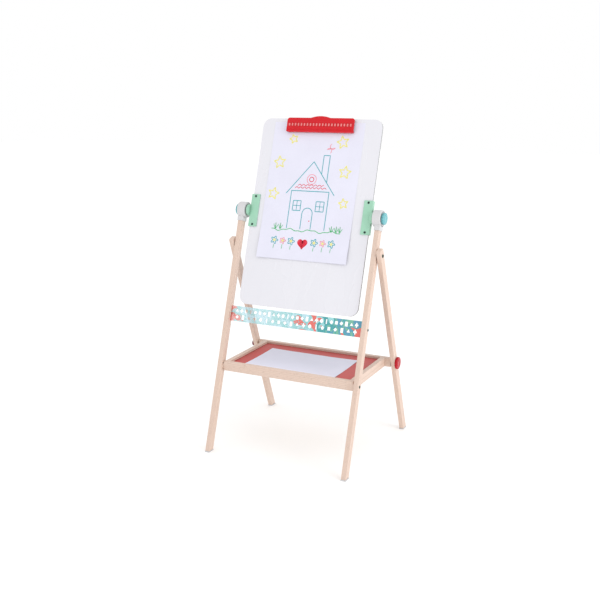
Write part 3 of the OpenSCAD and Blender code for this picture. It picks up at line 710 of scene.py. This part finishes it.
def piece(bm, place, node, materials=None):
    """Turns bm into a piece that stands for a CAD node and moves with it. Its origin is at its middle."""
    bmesh.ops.recalc_face_normals(bm, faces=bm.faces)
    points = [vertex.co for vertex in bm.verts]
    middle = Vector([(min(p[i] for p in points) + max(p[i] for p in points)) / 2 for i in range(3)])
    bmesh.ops.translate(bm, verts=bm.verts, vec=-middle)
    mesh = bpy.data.meshes.new(node + "_shape")
    bm.to_mesh(mesh)
    bm.free()
    mesh.polygons.foreach_set("use_smooth", [True] * len(mesh.polygons))
    mesh.set_sharp_from_angle(angle=SMOOTH_ANGLE)
    for material in materials or [LOOKS[SLOTS[node]]]:
        mesh.materials.append(material)
    obj = bpy.data.objects.new(node + "_shape", mesh)
    bpy.context.scene.collection.objects.link(obj)
    obj.matrix_world = place @ Matrix.Translation(middle)
    normals = obj.modifiers.new("normals", "WEIGHTED_NORMAL")
    normals.keep_sharp = True
    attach(obj, NODES[node]["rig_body"])
    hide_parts(node)
    return obj


def front_leg(side, seed):
    node = "front_leg_" + side
    low, high = local_box(node, BOARD)
    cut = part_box("front_foot_pads")[1].z
    outline = [(low.y, level_cut(BOARD, low.y, cut)), (high.y, level_cut(BOARD, high.y, cut)),
               (high.y, high.z), (low.y, high.z)]
    piece(prism(outline, 0, (low.x, high.x), WOOD_EDGE), BOARD, node, [wood("beech_" + node, seed)])


def rear_leg(side, seed):
    node = "rear_leg_" + side
    low, high = local_box(node, REAR)
    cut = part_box("rear_foot_pad_" + side)[1].z
    outline = [(low.y, level_cut(REAR, low.y, cut)), (high.y, level_cut(REAR, high.y, cut))]
    r = REAR_TOP_R
    outline += arc(r, 0, 90, 8, (high.y - r, high.z - r)) + arc(r, 90, 180, 8, (low.y + r, high.z - r))
    piece(prism(outline, 0, (low.x, high.x), WOOD_EDGE), REAR, node, [wood("beech_" + node, seed)])


def foot_pad(bm, place, leg, top):
    """Adds the pad under a leg: a slab cut level below and above, a little wider than the leg."""
    low, high = local_box(leg, place)
    front, back = low.y - PAD_LIP, high.y + PAD_LIP
    outline = [(front, level_cut(place, front, 0)), (back, level_cut(place, back, 0)),
               (back, level_cut(place, back, top)), (front, level_cut(place, front, top))]
    return prism(outline, 0, (low.x - PAD_LIP, high.x + PAD_LIP), PAD_EDGE, bm)


def foot_pads():
    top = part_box("front_foot_pads")[1].z
    bm = bmesh.new()
    for side in SIDES:
        foot_pad(bm, BOARD, "front_leg_" + side, top)
        node = "rear_foot_pad_" + side
        piece(foot_pad(bmesh.new(), REAR, "rear_leg_" + side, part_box(node)[1].z), REAR, node)
    piece(bm, BOARD, "front_foot_pads")


def leg_cap(side):
    """Round housing that reaches in to the board's hub, with a square sleeve down the leg."""
    node = "leg_cap_" + side
    sign = SIDES[side]
    low, high = local_box(node, BOARD)
    inner, outer = sorted((abs(low.x), abs(high.x)))
    leg_low, leg_high = local_box("front_leg_" + side, BOARD)
    leg_in, leg_out = sorted((abs(leg_low.x), abs(leg_high.x)))
    wall = outer - leg_out
    half = leg_high.y + wall
    span = sorted((sign * (leg_in - wall), sign * outer))
    bm = prism(rectangle((-half, low.z), (half, 0)), 0, span, CAP_EDGE)
    depth = outer - inner
    drum = fillet([(0, CAP_BORE), (0, high.z), (depth, high.z), (depth, high.z - CAP_RIM),
                   (depth - CAP_DISH, high.z - CAP_RIM - CAP_DISH), (depth - CAP_DISH, CAP_BORE)],
                  CAP_EDGE, closed=False)
    turned(bm, aim((sign * inner, 0, 0), (sign, 0, 0)), drum, steps=96)
    piece(bm, BOARD, node)


def bracket(side):
    """Channel over the board's edge, with a drum that carries the pivot stud."""
    node = "bracket_" + side
    sign = SIDES[side]
    low, high = local_box(node, BOARD)
    inner, hub_out = sorted((abs(low.x), abs(high.x)))
    face, back = local_box("whiteboard_face", BOARD)[0].y, local_box("chalkboard_face", BOARD)[1].y
    edge = local_box("whiteboard_face", BOARD)[1].x
    out = edge + BRACKET_WALL
    plate_front = face - BRACKET_WALL + BRACKET_SET_IN
    plate_back = back + BRACKET_WALL - BRACKET_SET_IN
    channel = [(inner, plate_front), (out, plate_front), (out, plate_back), (inner, plate_back),
               (inner, back), (edge, back), (edge, face), (inner, face)]
    channel = [(sign * x, y) for x, y in channel]
    bm = prism(channel, 2, (low.z, high.z), BRACKET_EDGE)
    drum = fillet([(0, high.y), (hub_out - out, high.y), (hub_out - out, high.y - HUB_FACE)],
                  HUB_EDGE, closed=False)
    turned(bm, aim((sign * out, 0, 0), (sign, 0, 0)), drum, steps=72)
    piece(bm, BOARD, node)


def plate(node):
    """Round-cornered plate of the board."""
    low, high = local_box(node, BOARD)
    r = BOARD_CORNER
    outline = arc(r, 0, 90, 20, (high.x - r, high.z - r)) + arc(r, 90, 180, 20, (low.x + r, high.z - r))
    outline += arc(r, 180, 270, 20, (low.x + r, low.z + r)) + arc(r, 270, 360, 20, (high.x - r, low.z + r))
    piece(prism(outline, 1, (low.y, high.y), BOARD_RIM), BOARD, node)


def clip_profile(x, half, low, high):
    """Section of the lever at x: lip, ridge, ribbed band and rounded top, as (u, v) points."""
    front = low.y + CLIP_RIB_OUT
    back = front + CLIP_PLATE_T
    if abs(x) > half - CLIP_WALL:
        back = front + CLIP_CHEEK_BACK
    board_top = high.z - CLIP_HUMP_RISE
    top, bottom = board_top, low.z
    radius = (CLIP_HUMP_HALF ** 2 + CLIP_HUMP_RISE ** 2) / (2 * CLIP_HUMP_RISE)
    if abs(x) < CLIP_HUMP_HALF:
        top += math.sqrt(radius ** 2 - x * x) - (radius - CLIP_HUMP_RISE)
    past_corner = abs(x) - (half - CLIP_CORNER)
    if past_corner > 0:
        drop = CLIP_CORNER - math.sqrt(max(CLIP_CORNER ** 2 - past_corner ** 2, 0))
        top -= drop * 0.8
        bottom += drop * 0.12
    ridge_top = low.z + CLIP_RIDGE_TOP
    ridge_low = ridge_top - CLIP_RIDGE_H
    band_top = low.z + CLIP_RIB_TOP + 1.4 * MM
    band_low = band_top - CLIP_RIB_H - 2.8 * MM
    lip = bottom + CLIP_LIP_H
    return [
        (front + 1.4 * MM, bottom), (front + 0.4 * MM, bottom + 0.4 * MM), (front, bottom + 1.4 * MM),
        (front, lip + 0.6 * MM), (front + 0.5 * MM, lip + 1.2 * MM), (front + 0.5 * MM, ridge_low - 0.8 * MM),
        (front - 0.5 * MM, ridge_low), (front - 0.7 * MM, (ridge_low + ridge_top) / 2),
        (front - 0.5 * MM, ridge_top), (front, ridge_top + 1 * MM), (front, band_low),
        (front + CLIP_DIP, band_low + 0.6 * MM), (front + CLIP_DIP, band_top - 0.6 * MM), (front, band_top),
        (front, top - 2.2 * MM), (front + 0.5 * MM, top - 0.7 * MM), (front + 1.5 * MM, top),
        (back - 0.6 * MM, top - 0.2 * MM), (back, top - 1.2 * MM), (back, lip + 1.5 * MM),
        (back + 0.6 * MM, lip + 0.4 * MM), (high.y - 0.6 * MM, lip - 0.4 * MM),
        (high.y, lip - 1.2 * MM), (high.y, bottom + 0.8 * MM), (high.y - 0.8 * MM, bottom),
    ]


def lever_shell(low, high):
    """Plate and bent sides of the lever, from sections that stand closer where the shape turns."""
    half = high.x
    plain = [half * i / 60 for i in range(-60, 61)]
    insets = [CLIP_WALL + CLIP_STEP, CLIP_WALL - CLIP_STEP, CLIP_SIDE_EDGE, 0.3 * CLIP_SIDE_EDGE]
    insets += [CLIP_CORNER * k / 6 for k in range(1, 6)]
    close = [sign * (half - inset) for sign in (-1, 1) for inset in insets]
    bm = bmesh.new()
    sections = []
    for x in sorted(set(round(x, 7) for x in plain + close)):
        outline = [Vector(point) for point in clip_profile(x, half, low, high)]
        past = CLIP_SIDE_EDGE - (half - abs(x))
        if past > 0:
            pull = CLIP_SIDE_EDGE - math.sqrt(max(CLIP_SIDE_EDGE ** 2 - past ** 2, 0))
            middle = sum(outline, Vector((0, 0))) / len(outline)
            outline = [p + (middle - p).normalized() * min(pull, (middle - p).length / 2) for p in outline]
        sections.append([bm.verts.new((x, p[0], p[1])) for p in outline])
    skin(bm, sections)
    return bm


def lever_ribs(bm, low, high):
    """Adds the row of short ribs, with the second material, a paler red that is a painted highlight."""
    span = 2 * (high.x - CLIP_RIB_MARGIN)
    top = low.z + CLIP_RIB_TOP
    depth = (low.y, low.y + CLIP_RIB_OUT + RIB_ROOT)
    for i in range(CLIP_RIBS):
        x = (i / (CLIP_RIBS - 1) - 0.5) * span
        face = rectangle((x - CLIP_RIB_W / 2, top - CLIP_RIB_H), (x + CLIP_RIB_W / 2, top))
        rib = prism(fillet(face, RIB_CORNER), 1, depth, RIB_EDGE)
        for side in rib.faces:
            side.material_index = 1
        merge(bm, rib)


def lever_lugs(bm, low):
    """Adds the two lugs that turn on the hinge pin."""
    out = local_box("clip_base", BOARD)[1].x - CLIP_LUG_GAP
    pin = (BOARD.inverted() @ Vector(JOINTS["clip_open"]["pos_m"])).yz
    root = low.y + CLIP_RIB_OUT + CLIP_PLATE_T - CLIP_LUG_ROOT
    lug = [(root, pin.y - CLIP_LUG_R), (pin.x, pin.y - CLIP_LUG_R)]
    lug += arc(CLIP_LUG_R, -90, 90, 12, pin) + [(root, pin.y + CLIP_LUG_R)]
    for sign in SIDES.values():
        prism(lug, 0, sorted((sign * out, sign * (out - CLIP_LUG_T))), CLIP_LUG_EDGE, bm)


def clip_lever():
    low, high = local_box("clip_lever", BOARD)
    bm = lever_shell(low, high)
    lever_ribs(bm, low, high)
    lever_lugs(bm, low)
    # The ribs' paler red is a painted highlight.
    rib_highlight = plastic("rib_painted_highlight", RIB_HIGHLIGHT, gloss=(0.35, 0.45), worn=1.05, specular=0.3)
    piece(bm, BOARD, "clip_lever", [LOOKS["red_plastic"], rib_highlight])


def hand_knob(node, joint, place, materials=None):
    """A grip knob on its joint's axis, facing away from the easel."""
    low, high = local_box(node, place)
    sign = 1 if low.x + high.x > 0 else -1
    centre = place.inverted() @ Vector(JOINTS[joint]["pos_m"])
    inner = min(abs(low.x), abs(high.x))
    radius = max(high.y - centre.y, centre.y - low.y)
    bm = knob_shape(aim((sign * inner, centre.y, centre.z), (sign, 0, 0)), radius, high.x - low.x)
    piece(bm, place, node, materials)


def bolt_cap():
    """The small domed cap on the left end of the tray's rear bolt, with the bolt's end."""
    low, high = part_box("tray_bolt_left")
    y, z = (low.y + high.y) / 2, (low.z + high.z) / 2
    seat = local_box("rear_leg_left", REAR)[0].x
    radius, height = (high.y - low.y) / 2, seat - low.x
    bm = bmesh.new()
    dome = fillet([(0, radius * 0.9), (0, radius), (height * 0.72, radius), (height, radius * 0.62),
                   (height, radius * 0.2)], DOME_EDGE, closed=False)
    turned(bm, aim((seat, y, z), (-1, 0, 0)), dome, steps=64)
    turned(bm, aim((high.x, y, z), (-1, 0, 0)), [(0, BOLT_TIP_R), (BOLT_CHAMFER, BOLT_R),
                                                (high.x - seat + BOLT_INSIDE, BOLT_R)], steps=32)
    piece(bm, WORLD, "tray_bolt_left")


def tray_rail(node, turn, seed):
    low, high = local_box(node, turn)
    outline = rectangle((low.x, low.y), (high.x, high.y))
    piece(prism(outline, 2, (low.z, high.z), TRAY_EDGE), turn, node, [wood("beech_" + node, seed)])


def bracket_screws():
    """Screws in both plates of each bracket."""
    low, high = local_box("bracket_screws", BOARD)
    head_r, head_h = BRACKET_HEAD
    shank = (BRACKET_SHANK_R, (high.y - low.y) / 2)
    bm = bmesh.new()
    for x in (low.x + head_r, high.x - head_r):
        for z in (low.z + head_r, high.z - head_r):
            screw(bm, (x, low.y + head_h, z), (0, -1, 0), shank, BRACKET_HEAD, cross_recess)
            screw(bm, (x, high.y - head_h, z), (0, 1, 0), shank, BRACKET_HEAD, hex_recess)
    piece(bm, BOARD, "bracket_screws")


def cap_screws():
    """One screw in the back of each leg cap."""
    low, high = local_box("cap_screws", BOARD)
    shank, head = CAP_SCREW
    bm = bmesh.new()
    for x in (low.x + head[0], high.x - head[0]):
        screw(bm, (x, high.y - head[1], (low.z + high.z) / 2), (0, 1, 0), shank, head, cross_recess)
    piece(bm, BOARD, "cap_screws")


def side_pair(node, place, fastener, recess):
    """Two equal screws or bolts, set in from the easel's two sides."""
    shank, head = fastener
    low, high = local_box(node, place)
    y, z = (low.y + high.y) / 2, (low.z + high.z) / 2
    bm = bmesh.new()
    for sign in SIDES.values():
        screw(bm, (sign * (high.x - head[1]), y, z), (sign, 0, 0), shank, head, recess)
    piece(bm, place, node)


def tray_screws():
    """Countersunk screws at the tray's corners: from the sides in front, from the back behind."""
    low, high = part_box("tray_screws")
    shank, head = CORNER_SCREW
    side_y = (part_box("tray_front_rail")[0].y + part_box("tray_front_rail")[1].y) / 2
    side_x = (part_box("tray_side_right")[0].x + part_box("tray_side_right")[1].x) / 2
    z = (low.z + high.z) / 2
    bm = bmesh.new()
    for sign in SIDES.values():
        screw(bm, (sign * (high.x - CORNER_SUNK), side_y, z), (sign, 0, 0), shank, head, cross_recess)
        screw(bm, (sign * side_x, high.y - CORNER_SUNK, z), (0, 1, 0), shank, head, cross_recess)
    piece(bm, WORLD, "tray_screws")


def ring_pair(node, place, edge):
    """Two equal washers or spacers, one on each side of the easel."""
    low, high = local_box(node, place)
    y, z = (low.y + high.y) / 2, (low.z + high.z) / 2
    inner = min(abs(v.co.x) for v in NODES[node].data.vertices)
    bm = bmesh.new()
    for sign in SIDES.values():
        tube(bm, aim((0, y, z), (sign, 0, 0)), inner, high.x, (high.y - low.y) / 2, RING_BORE, edge)
    piece(bm, place, node)


# ---------------------------------------------------------------- paper and its drawing

def smooth(t):
    t = min(max(t, 0), 1)
    return t * t * (3 - 2 * t)


def sheet(bm, across, along, surface, thickness):
    """A thin sheet whose face follows surface(a, b) and whose back is thickness behind it."""
    faces = []
    for offset in (0, thickness):
        faces.append([[bm.verts.new(surface(a, b, offset)) for b in along] for a in across])
    for grid in faces:
        for i in range(len(across) - 1):
            for j in range(len(along) - 1):
                bm.faces.new((grid[i][j], grid[i + 1][j], grid[i + 1][j + 1], grid[i][j + 1]))
    front, back = faces
    rim = [(i, 0) for i in range(len(across))]
    rim += [(len(across) - 1, j) for j in range(1, len(along))]
    rim += [(i, len(along) - 1) for i in range(len(across) - 2, -1, -1)]
    rim += [(0, j) for j in range(len(along) - 2, 0, -1)]
    for (i, j), (k, m) in zip(rim, rim[1:] + rim[:1]):
        bm.faces.new((front[i][j], front[k][m], back[k][m], back[i][j]))
    return bm


def spaced(low, high, steps):
    return [low + (high - low) * i / steps for i in range(steps + 1)]


def ribbon(bm, points, width, surface, index, closed=False):
    """Lays one pen stroke on a surface, as a thin strip along points."""
    path = []
    ends = points + points[:1] if closed else points
    for a, b in zip(ends, ends[1:]):
        a, b = Vector(a), Vector(b)
        count = max(1, round((b - a).length / (2.5 * MM)))
        path += [a.lerp(b, k / count) for k in range(count)]
    if not closed:
        path.append(Vector(ends[-1]))
    last = len(path) - 1
    pairs = []
    for i, point in enumerate(path):
        ahead = path[(i + 1) % len(path)] if closed else path[min(i + 1, last)]
        behind = path[i - 1] if closed or i else path[0]
        way = (ahead - behind).normalized()
        side = Vector((-way.y, way.x)) * width / 2
        if not closed and i in (0, last):
            side *= 0.45
        pairs.append([bm.verts.new(surface(*(point + s * side), -INK_LIFT)) for s in (-1, 1)])
    if closed:
        pairs.append(pairs[0])
    for (a, b), (c, d) in zip(pairs, pairs[1:]):
        bm.faces.new((a, b, d, c)).material_index = index


def star(x, y, size, turn):
    points = []
    for i in range(10):
        r = size if i % 2 == 0 else size * 0.45
        a = math.radians(turn + 36 * i)
        points.append((x - r * math.sin(a), y + r * math.cos(a)))
    return points


def heart(x, y, size):
    points = []
    for i in range(36):
        t = 2 * math.pi * i / 36
        points.append((x + size * math.sin(t) ** 3,
                       y + size / 16 * (13 * math.cos(t) - 5 * math.cos(2 * t)
                                        - 2 * math.cos(3 * t) - math.cos(4 * t))))
    return points


def circle(x, y, size):
    """A ring of points, for a stroke that closes on itself."""
    return arc(size, 0, 345, 23, (x, y))


def flower(x, y, size):
    """Five petals drawn in one line, round a middle."""
    points = []
    for i in range(60):
        a = 2 * math.pi * i / 60
        r = size * (0.72 + 0.28 * math.cos(5 * a))
        points.append((x + r * math.cos(a), y + r * math.sin(a)))
    return points


def drawing():
    """Strokes as (ink, closed, width factor, points), in metres from the middle of the sheet's lower edge."""
    strokes = []

    def draw(colour, points, closed=False, width=1.0):
        strokes.append((colour, closed, width, [(x * MM, y * MM) for x, y in points]))

    def window(x, y):
        draw("teal", rectangle((x - 13, y - 15), (x + 13, y + 15)), closed=True)
        draw("teal", [(x, y - 15), (x, y + 15)], width=0.8)
        draw("teal", [(x - 13, y), (x + 13, y)], width=0.8)

    # House, then its gable
    draw("teal", [(-62, 94), (-62, 210), (62, 210), (62, 94)])
    draw("teal", [(-80, 200), (0, 300), (80, 200)])
    draw("teal", [(30, 263), (30, 320), (50, 320), (50, 238)])
    draw("teal", [(-17, 94), (-17, 140)] + arc(17, 180, 0, 10, (0, 142)) + [(17, 140), (17, 94)])
    draw("red", [(9, 118), (10, 122)], width=1.6)
    window(-38, 165)
    window(38, 165)
    draw("pink", circle(0, 246, 15), closed=True)
    draw("red", circle(0, 246, 7), closed=True)
    for row, y in enumerate((217, 225)):
        reach = 52 - 9 * row
        wave = [(x, y + 5 * abs(math.sin(x * 0.24 + row))) for x in range(-reach, reach + 1, 2)]
        draw("red", wave, width=0.8)
    # Smoke, stars and grass
    draw("pink", arc(8, -60, 150, 10, (44, 334)) + arc(9, 330, 120, 10, (55, 348)))
    for x, y, size, turn in ((85, 361, 20, 14), (104, 271, 20, -6), (-115, 295, 20, 8), (-122, 198, 19, -12),
                             (-78, 368, 15, 20), (112, 178, 16, 10)):
        draw("yellow", star(x, y, size, turn), closed=True, width=1.5)
    draw("green", [(x, 90 + 3 * math.sin(x * 0.09) + 1.5 * math.sin(x * 0.23)) for x in range(-112, 117, 4)])
    for x in (-100, -84, 84, 100, 112):
        draw("green", [(x - 6, 106), (x, 91), (x + 1, 110), (x + 2, 91), (x + 9, 104)], width=0.8)
    # Row of a heart and flowers
    for size, width in ((15, 1.6), (10, 2.6), (5, 3.0)):
        draw("red", heart(-2, 51, size), closed=True, width=width)
    for sign in (-1, 1):
        for k, (x, size) in enumerate(((38, 12), (66, 10), (94, 12))):
            colour = "teal" if k % 2 == 0 else "pink"
            draw(colour, flower(sign * x - 2, 56, size), closed=True)
            draw("yellow", circle(sign * x - 2, 56, size * 0.22), closed=True, width=1.5)
            draw("green", [(sign * x - 2, 55 - size), (sign * x - 3, 30)], width=0.8)
    return strokes


def paper_sheet():
    low, high = local_box("paper_sheet", BOARD)
    mid, half = (low.x + high.x) / 2, (high.x - low.x) / 2
    free_top = high.z - PAPER_UNDER_CLIP
    thickness = high.y - low.y

    def surface(x, v, behind):
        across = (x - mid) / half
        down = (free_top - v) / (free_top - low.z)
        curl = PAPER_CURL * smooth((down - 0.55) / 0.45) ** 2 * (0.25 + 0.75 * across * across)
        wave = PAPER_WAVE * smooth(down * 2) * (1 + math.sin(5.1 * across + 2.4 * down)) / 2
        return (x, low.y - curl - wave + behind, v)

    bm = bmesh.new()
    sheet(bm, spaced(low.x, high.x, 60), spaced(low.z, high.z, 84), surface, thickness * SHEET_SHARE)
    names = list(INKS)
    for colour, closed, width, points in drawing():
        moved = [(mid + x, low.z + y) for x, y in points]
        ribbon(bm, moved, INK_W * width, surface, 1 + names.index(colour), closed)
    materials = [LOOKS["paper"]] + [INKS[name] for name in names]
    piece(bm, BOARD, "paper_sheet", materials)


def tray_sheet():
    low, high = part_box("tray_sheet")
    mid = (low + high) / 2
    half = (high - low) / 2

    def surface(x, y, below):
        across, along = (x - mid.x) / half.x, (y - mid.y) / half.y
        lift = LINER_CURL * smooth(abs(across) - 0.3) * smooth(abs(along) - 0.2)
        lift += LINER_WAVE * (1 + math.sin(4 * across + 2.5 * along)) / 2 * smooth(1 - abs(across))
        return (x, y, high.z + lift - below)

    bm = sheet(bmesh.new(), spaced(low.x, high.x, 48), spaced(low.y, high.y, 32), surface,
               (high.z - low.z) * SHEET_SHARE)
    piece(bm, WORLD, "tray_sheet")


# ---------------------------------------------------------------- build

for name in NODES:
    dress(name)
for index, side in enumerate(SIDES):
    front_leg(side, 1.0 + index)
    rear_leg(side, 3.0 + index)
    leg_cap(side)
    bracket(side)
    hand_knob("knob_" + side, "knob_" + side + "_spin", BOARD)
    tray_rail("tray_side_" + side, ALONG_Y, 5.0 + index)
tray_rail("tray_front_rail", ALONG_X, 7.0)
tray_rail("tray_rear_rail", ALONG_X, 8.0)
foot_pads()
for name in ("board_core", "whiteboard_face", "chalkboard_face"):
    plate(name)
clip_lever()
crimson = plastic("crimson_plastic", CRIMSON, gloss=(0.14, 0.26), specular=0.3)
hand_knob("tray_knob", "tray_knob_spin", WORLD, [crimson])
bolt_cap()
bracket_screws()
cap_screws()
side_pair("stencil_screws", BOARD, STENCIL_SCREW, cross_recess)
side_pair("tray_pivot_bolts", WORLD, TRAY_BOLT, hex_recess)
side_pair("rear_pivot_bolts", WORLD, REAR_BOLT, hex_recess)
tray_screws()
ring_pair("friction_washers", BOARD, FRICTION_EDGE)
ring_pair("rear_pivot_washers", WORLD, WASHER_EDGE)
ring_pair("tray_spacers", WORLD, SPACER_EDGE)
paper_sheet()
tray_sheet()


# ---------------------------------------------------------------- studio

def floor():
    bm = bmesh.new()
    bmesh.ops.create_grid(bm, x_segments=8, y_segments=8, size=FLOOR_SIZE)
    mesh = bpy.data.meshes.new("floor")
    bm.to_mesh(mesh)
    bm.free()
    mesh.materials.append(floor_material("floor"))
    obj = bpy.data.objects.new("floor", mesh)
    bpy.context.scene.collection.objects.link(obj)
    obj.location.z = START_LOW.z - FLOOR_DROP


def area_light(name, place, size, power):
    light = bpy.data.lights.new(name, "AREA")
    light.size = size
    light.energy = power
    obj = bpy.data.objects.new(name, light)
    bpy.context.scene.collection.objects.link(obj)
    obj.location = place
    obj.rotation_mode = "QUATERNION"
    obj.rotation_quaternion = (Vector(place) - CAMERA_TARGET).to_track_quat("Z", "Y")


def studio():
    world = bpy.data.worlds.new("studio")
    bpy.context.scene.world = world
    world.use_nodes = True
    background = world.node_tree.nodes["Background"]
    background.inputs["Color"].default_value = (1, 1, 1, 1)
    background.inputs["Strength"].default_value = WORLD_LIGHT
    area_light("key", KEY_PLACE, KEY_SIZE, KEY_POWER)
    area_light("fill", FILL_PLACE, FILL_SIZE, FILL_POWER)
    bpy.context.scene.view_settings.view_transform = "Standard"


def camera():
    azimuth, elevation = math.radians(CAMERA_AZIMUTH), math.radians(CAMERA_ELEVATION)
    back = Vector((math.sin(azimuth) * math.cos(elevation), -math.cos(azimuth) * math.cos(elevation),
                   math.sin(elevation)))
    data = bpy.data.cameras.new("camera")
    data.lens = CAMERA_LENS
    obj = bpy.data.objects.new("camera", data)
    bpy.context.scene.collection.objects.link(obj)
    obj.location = CAMERA_TARGET + back * CAMERA_DISTANCE
    obj.rotation_mode = "QUATERNION"
    obj.rotation_quaternion = (-back).to_track_quat("-Z", "Y")
    bpy.context.scene.camera = obj


floor()
studio()
camera()
bpy.context.view_layer.update()
